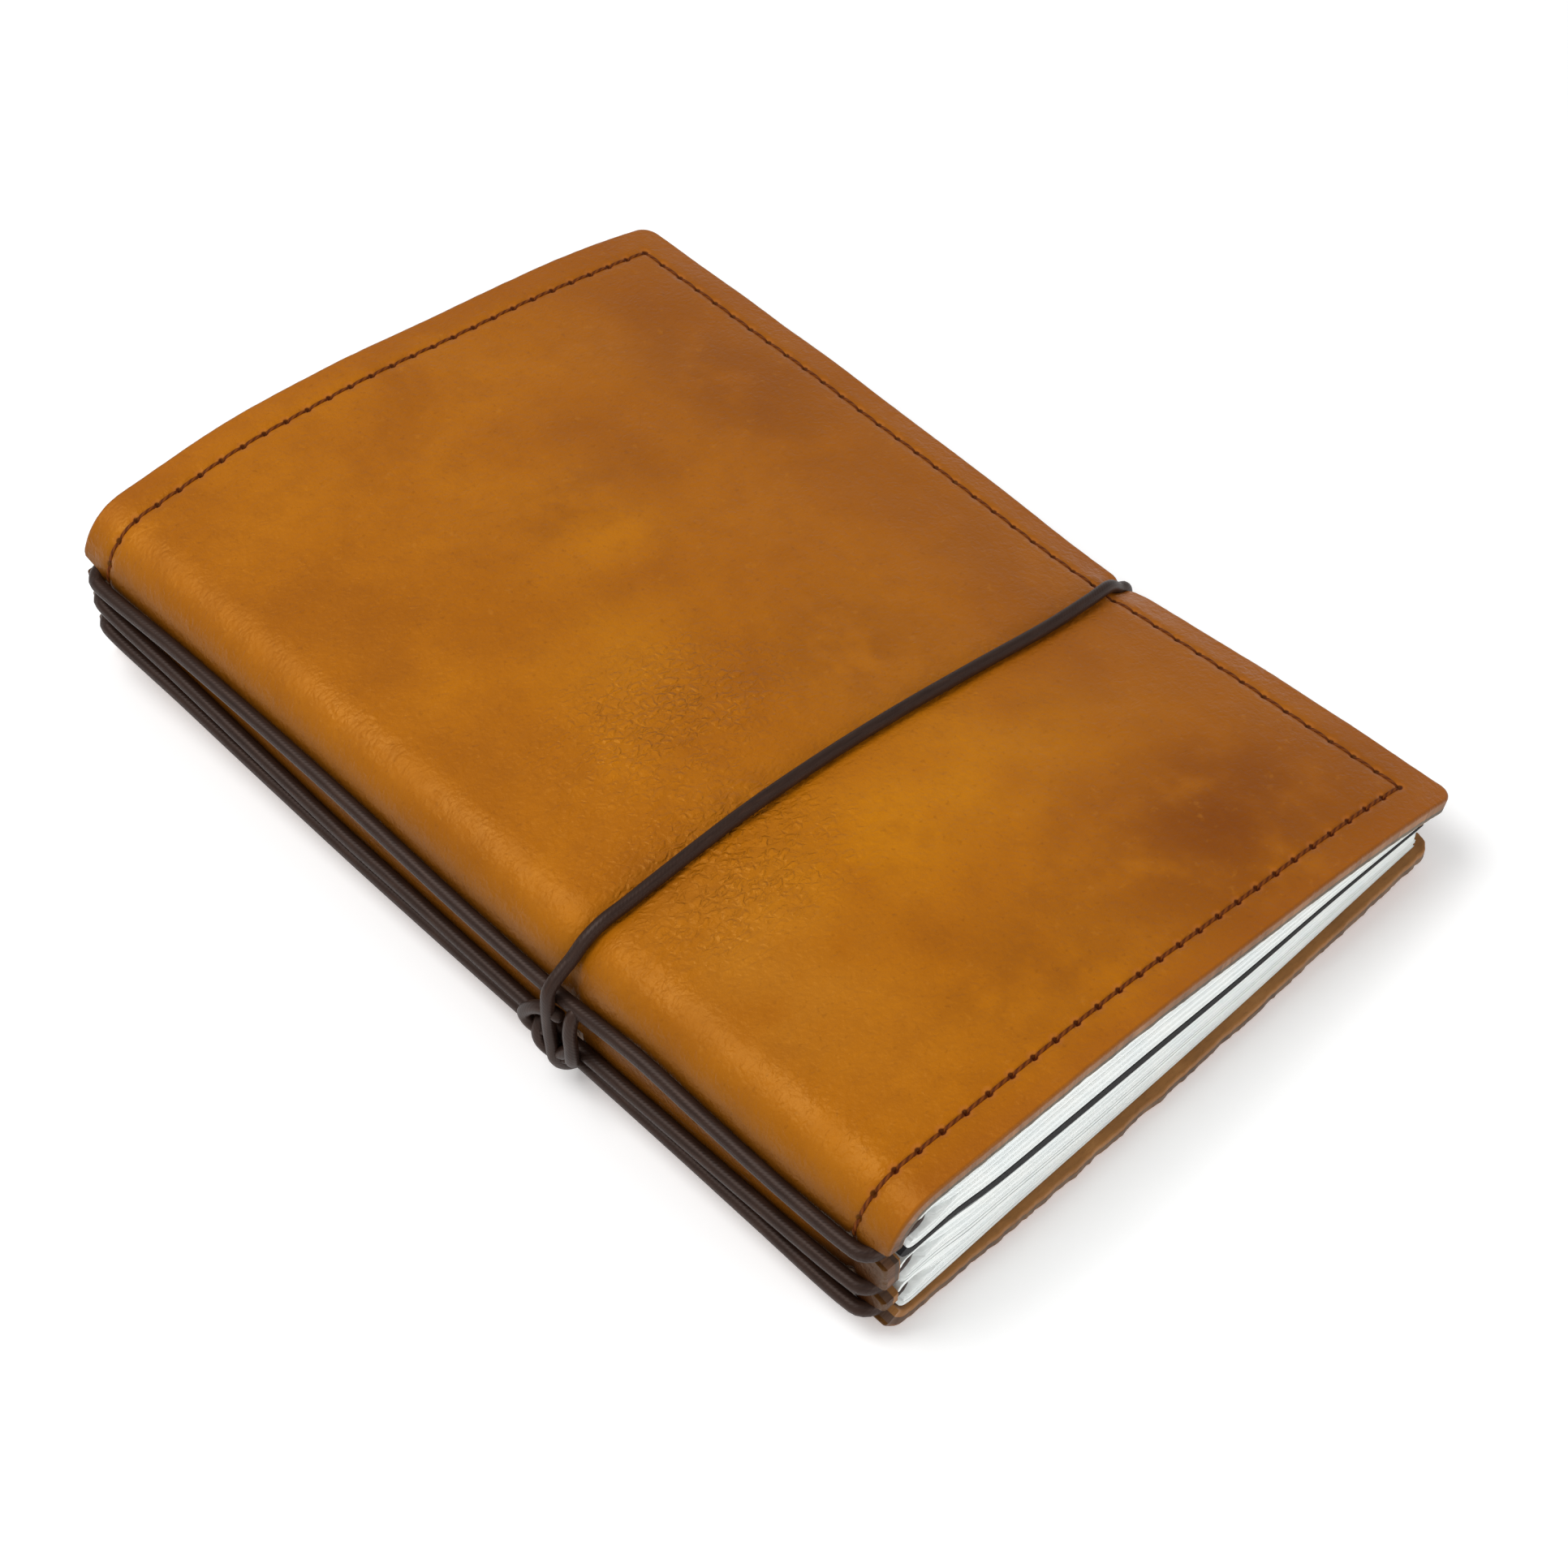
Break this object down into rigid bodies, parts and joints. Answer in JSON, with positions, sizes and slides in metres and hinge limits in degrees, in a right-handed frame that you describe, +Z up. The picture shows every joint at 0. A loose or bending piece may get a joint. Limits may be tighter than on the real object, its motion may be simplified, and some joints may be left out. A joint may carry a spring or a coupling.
{
  "type": "leather notebook cover",
  "caption": "Refillable leather notebook cover with paper inserts held by elastics along the spine and a closure band tied to them",
  "frame": {"origin": "under the middle of the closed notebook, on the plane it rests on", "axes": "+X from the spine to the fore edge, +Y from the tail to the head, +Z up from the back cover to the front cover"},
  "size_m": [0.105, 0.1446, 0.026],
  "materials": {
    "outer_leather": "satin, waxed",
    "lining_leather": "matt",
    "thread": "matt",
    "elastic": "matt",
    "card": "matt",
    "paper": "matt",
    "wire": "bright"
  },
  "bodies": {
    "back_cover": {"back_leather": "outer_leather", "back_lining": "lining_leather", "back_thread": "thread", "second_elastic_inside": "elastic", "third_elastic_inside": "elastic", "closure_band": "elastic", "second_insert_card_cover": "card", "second_insert_front_leaves": "paper", "second_insert_rear_leaves": "paper", "second_insert_staples": "wire", "third_insert_card_cover": "card", "third_insert_front_leaves": "paper", "third_insert_rear_leaves": "paper", "third_insert_staples": "wire"},
    "spine": {"spine_leather": "outer_leather", "spine_lining": "lining_leather", "spine_thread": "thread", "first_elastic": "elastic", "second_elastic_outside": "elastic", "third_elastic_outside": "elastic", "closure_knot": "elastic"},
    "front_cover": {"front_leather": "outer_leather", "front_lining": "lining_leather", "front_thread": "thread"},
    "first_insert": {"first_insert_card_cover": "card", "first_insert_front_leaves": "paper", "first_insert_rear_leaves": "paper", "first_insert_staples": "wire"}
  },
  "joints": [
    {"name": "spine_fold", "type": "hinge", "parent": "back_cover", "child": "spine", "pos_m": [-0.04675, 0, 0.00105], "axis": [0, -1, 0], "range_deg": [0, 90], "deforming": ["closure_band"]},
    {"name": "front_fold", "type": "hinge", "parent": "spine", "child": "front_cover", "pos_m": [-0.04623, 0, 0.02223], "axis": [0, -1, 0], "range_deg": [0, 90]},
    {"name": "first_insert_hinge", "type": "hinge", "parent": "spine", "child": "first_insert", "pos_m": [-0.0404, 0, 0.0164], "axis": [0, -1, 0], "range_deg": [0, 90]}
  ],
  "couplings": [
    {"joint": "front_fold", "follows": "spine_fold", "ratio": 1},
    {"joint": "first_insert_hinge", "follows": "spine_fold", "ratio": 1}
  ]
}
